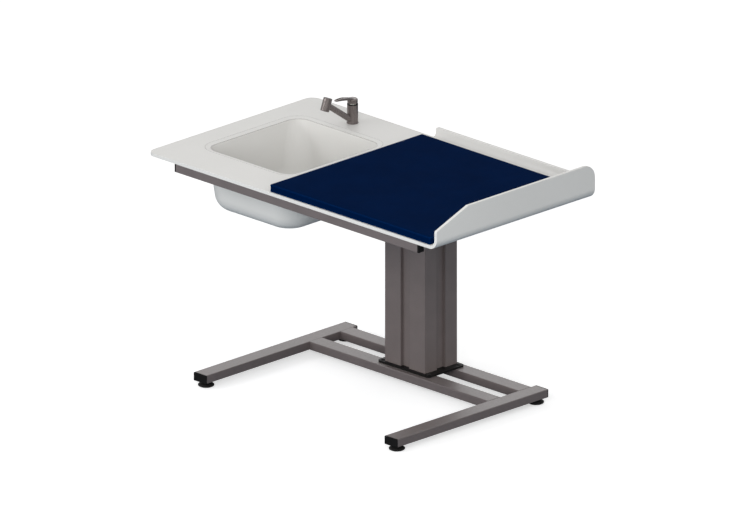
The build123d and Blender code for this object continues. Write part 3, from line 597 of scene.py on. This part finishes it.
def pad_mesh(low, high):
    """The closed pad: rings up the side, then rings that shrink to the middle of top and base."""
    outline = pad_outline(low, high)
    centre = (low + high) / 2
    height = high.z - low.z - PAD_LIFT
    half = Vector(((high.x - low.x) / 2, (high.y - low.y) / 2))
    work = bmesh.new()

    def ring(inset, z):
        made = []
        for point in outline:
            place = Vector((point.x - centre.x, point.y - centre.y))
            scale = Vector(((half.x - inset) / half.x, (half.y - inset) / half.y))
            x, y = place.x * scale.x, place.y * scale.y
            made.append(work.verts.new((centre.x + x, centre.y + y, low.z + PAD_LIFT + z)))
        return made

    profile = pad_profile(height)
    rings = [ring(inset, z) for inset, z in profile]
    inset, top = profile[-1]
    reach = min(half.x, half.y)
    count = round((reach - inset) / (2 * PAD_STEP))
    for step in range(1, count):
        rings.append(ring(inset + (reach - inset) * step / count, top))
    base = [ring(reach * step / PAD_BASE_RINGS, 0.0) for step in range(1, PAD_BASE_RINGS)]
    for first, second in zip(rings, rings[1:]):
        bridge(work, first, second)
    bridge(work, base[0], rings[0])
    for first, second in zip(base, base[1:]):
        bridge(work, second, first)
    work.faces.new(rings[-1])
    work.faces.new(list(reversed(base[-1])))
    bmesh.ops.triangulate(work, faces=[face for face in work.faces if len(face.verts) > 4])
    return work, half, centre, height


def shape_pad(work, half, centre, height, low):
    """Crown the top, draw the sides in between the corners and lay a faint ripple over it."""
    for vert in work.verts:
        x = (vert.co.x - centre.x) / half.x
        y = (vert.co.y - centre.y) / half.y
        up = (vert.co.z - low.z - PAD_LIFT) / height
        middle = max(0.0, 1 - x ** PAD_CROWN_POWER) * max(0.0, 1 - y ** PAD_CROWN_POWER)
        vert.co.x -= math.copysign(PAD_SIDE_PULL, x) * (1 - y * y) * abs(x) ** PAD_PULL_POWER
        vert.co.y -= math.copysign(PAD_SIDE_PULL, y) * (1 - x * x) * abs(y) ** PAD_PULL_POWER
        if up > 0.5:
            spot = (vert.co.x * PAD_RIPPLES_PER_METRE, vert.co.y * PAD_RIPPLES_PER_METRE, 0.0)
            ripple = noise.noise(Vector(spot))
            vert.co.z += middle * (PAD_CROWN + PAD_RIPPLE * ripple) * (up - 0.5) * 2


def make_mattress():
    low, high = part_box("mattress")
    work, half, centre, height = pad_mesh(low, high)
    shape_pad(work, half, centre, height, low)
    bmesh.ops.recalc_face_normals(work, faces=work.faces)
    mesh = bpy.data.meshes.new("mattress_pad")
    work.to_mesh(mesh)
    work.free()
    mesh.materials.append(cover)
    piece = bpy.data.objects.new("mattress_pad", mesh)
    bpy.context.scene.collection.objects.link(piece)
    shade_smooth(mesh)
    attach(piece, "pad")
    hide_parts("mattress")


make_mattress()


# Floor, world, lamps and camera

FLOOR_SIZE = 30.0
FLOOR_DROP = 0.3 * MM

# The floor's colour to the camera and to bounced light, and its glow to the camera alone
FLOOR_PALE = (0.75, 0.75, 0.75, 1.0)
FLOOR_BOUNCE = (0.15, 0.2, 0.25, 1.0)
FLOOR_LIFT = 0.55

# Surroundings, and how strongly they light the object
WHITE = (1.0, 1.0, 1.0, 1.0)
WORLD_LIGHT = 0.6

# Name, place, target, size, power in watts, and whether the lamp leaves a highlight on gloss
LAMPS = (
    ("key", (-2.5, -4.2, 2.5), (0, 0, 0.6), 1.2, 42, True),
    ("fill", (3.7, -4.2, 2.6), (0, 0, 0.6), 2.8, 143, False),
    ("front", (-0.6, -4.6, 0.35), (0, 0, 0.6), 2.0, 42, False),
    ("top", (-0.3, -0.4, 4.2), (-0.2, 0, 0.8), 2.0, 6, True),
    ("back", (-3.4, 4.2, 2.4), (0, 0, 0.5), 3.0, 14, True),
)


def make_floor():
    """A plain pale floor that fills the view and keeps the object's soft shadow."""
    bpy.ops.mesh.primitive_plane_add(size=FLOOR_SIZE, location=(0, 0, -FLOOR_DROP))
    floor = bpy.context.object
    floor.name = "floor"
    make = Finish("pale_floor").set(Specular_IOR_Level=0.0, Emission_Color=WHITE)
    seen = make.add("ShaderNodeLightPath").outputs["Is Camera Ray"]
    pale = make.tones(make.noise(scale=3.0, detail=3.0), FLOOR_PALE, dark=0.995, pale=1.0)
    lift = make.combine("MULTIPLY", seen, FLOOR_LIFT)
    make.link(lift, make.shader.inputs["Emission Strength"])
    colour = make.mix(seen, FLOOR_BOUNCE, pale)
    roughness = make.spread(make.noise(scale=40.0, detail=2.0), low=0.8, high=0.9)
    floor.data.materials.append(make.finish(colour, roughness))


def make_world():
    """Even white surroundings: full white where seen or mirrored, weaker as light."""
    world = bpy.data.worlds.new("studio")
    bpy.context.scene.world = world
    world.use_nodes = True
    tree = world.node_tree
    path = tree.nodes.new("ShaderNodeLightPath")
    seen = path.outputs["Is Camera Ray"]
    for kind in ("Is Glossy Ray", "Is Transmission Ray"):
        either = tree.nodes.new("ShaderNodeMath")
        either.operation = "MAXIMUM"
        tree.links.new(seen, either.inputs[0])
        tree.links.new(path.outputs[kind], either.inputs[1])
        seen = either.outputs["Value"]
    strength = tree.nodes.new("ShaderNodeMapRange")
    strength.inputs["To Min"].default_value = WORLD_LIGHT
    strength.inputs["To Max"].default_value = 1.0
    tree.links.new(seen, strength.inputs["Value"])
    background = tree.nodes["Background"]
    background.inputs["Color"].default_value = WHITE
    tree.links.new(strength.outputs["Result"], background.inputs["Strength"])


def make_lamp(name, place, target, size, power, mirrored):
    """A square area lamp, turned towards its target."""
    lamp = bpy.data.lights.new(name, "AREA")
    lamp.shape = "SQUARE"
    lamp.size = size
    lamp.energy = power
    thing = bpy.data.objects.new(name, lamp)
    bpy.context.scene.collection.objects.link(thing)
    thing.location = place
    thing.visible_glossy = mirrored
    ahead = Vector(target) - Vector(place)
    thing.rotation_euler = ahead.to_track_quat("-Z", "Y").to_euler()


def make_camera():
    azimuth, elevation = math.radians(VIEW_AZIMUTH), math.radians(VIEW_ELEVATION)
    back = Vector((math.sin(azimuth) * math.cos(elevation),
                   -math.cos(azimuth) * math.cos(elevation),
                   math.sin(elevation)))
    data = bpy.data.cameras.new("camera")
    data.type = "ORTHO"
    data.ortho_scale = PHOTO_WIDTH / PIXELS_PER_MM * MM
    data.clip_end = CAMERA_CLIP
    camera = bpy.data.objects.new("camera", data)
    bpy.context.scene.collection.objects.link(camera)
    camera.location = VIEW_CENTRE + back * CAMERA_DISTANCE
    camera.rotation_euler = (-back).to_track_quat("-Z", "Y").to_euler()
    bpy.context.scene.camera = camera


make_floor()
make_world()
for lamp in LAMPS:
    make_lamp(*lamp)
make_camera()
bpy.context.scene.view_settings.view_transform = "Standard"
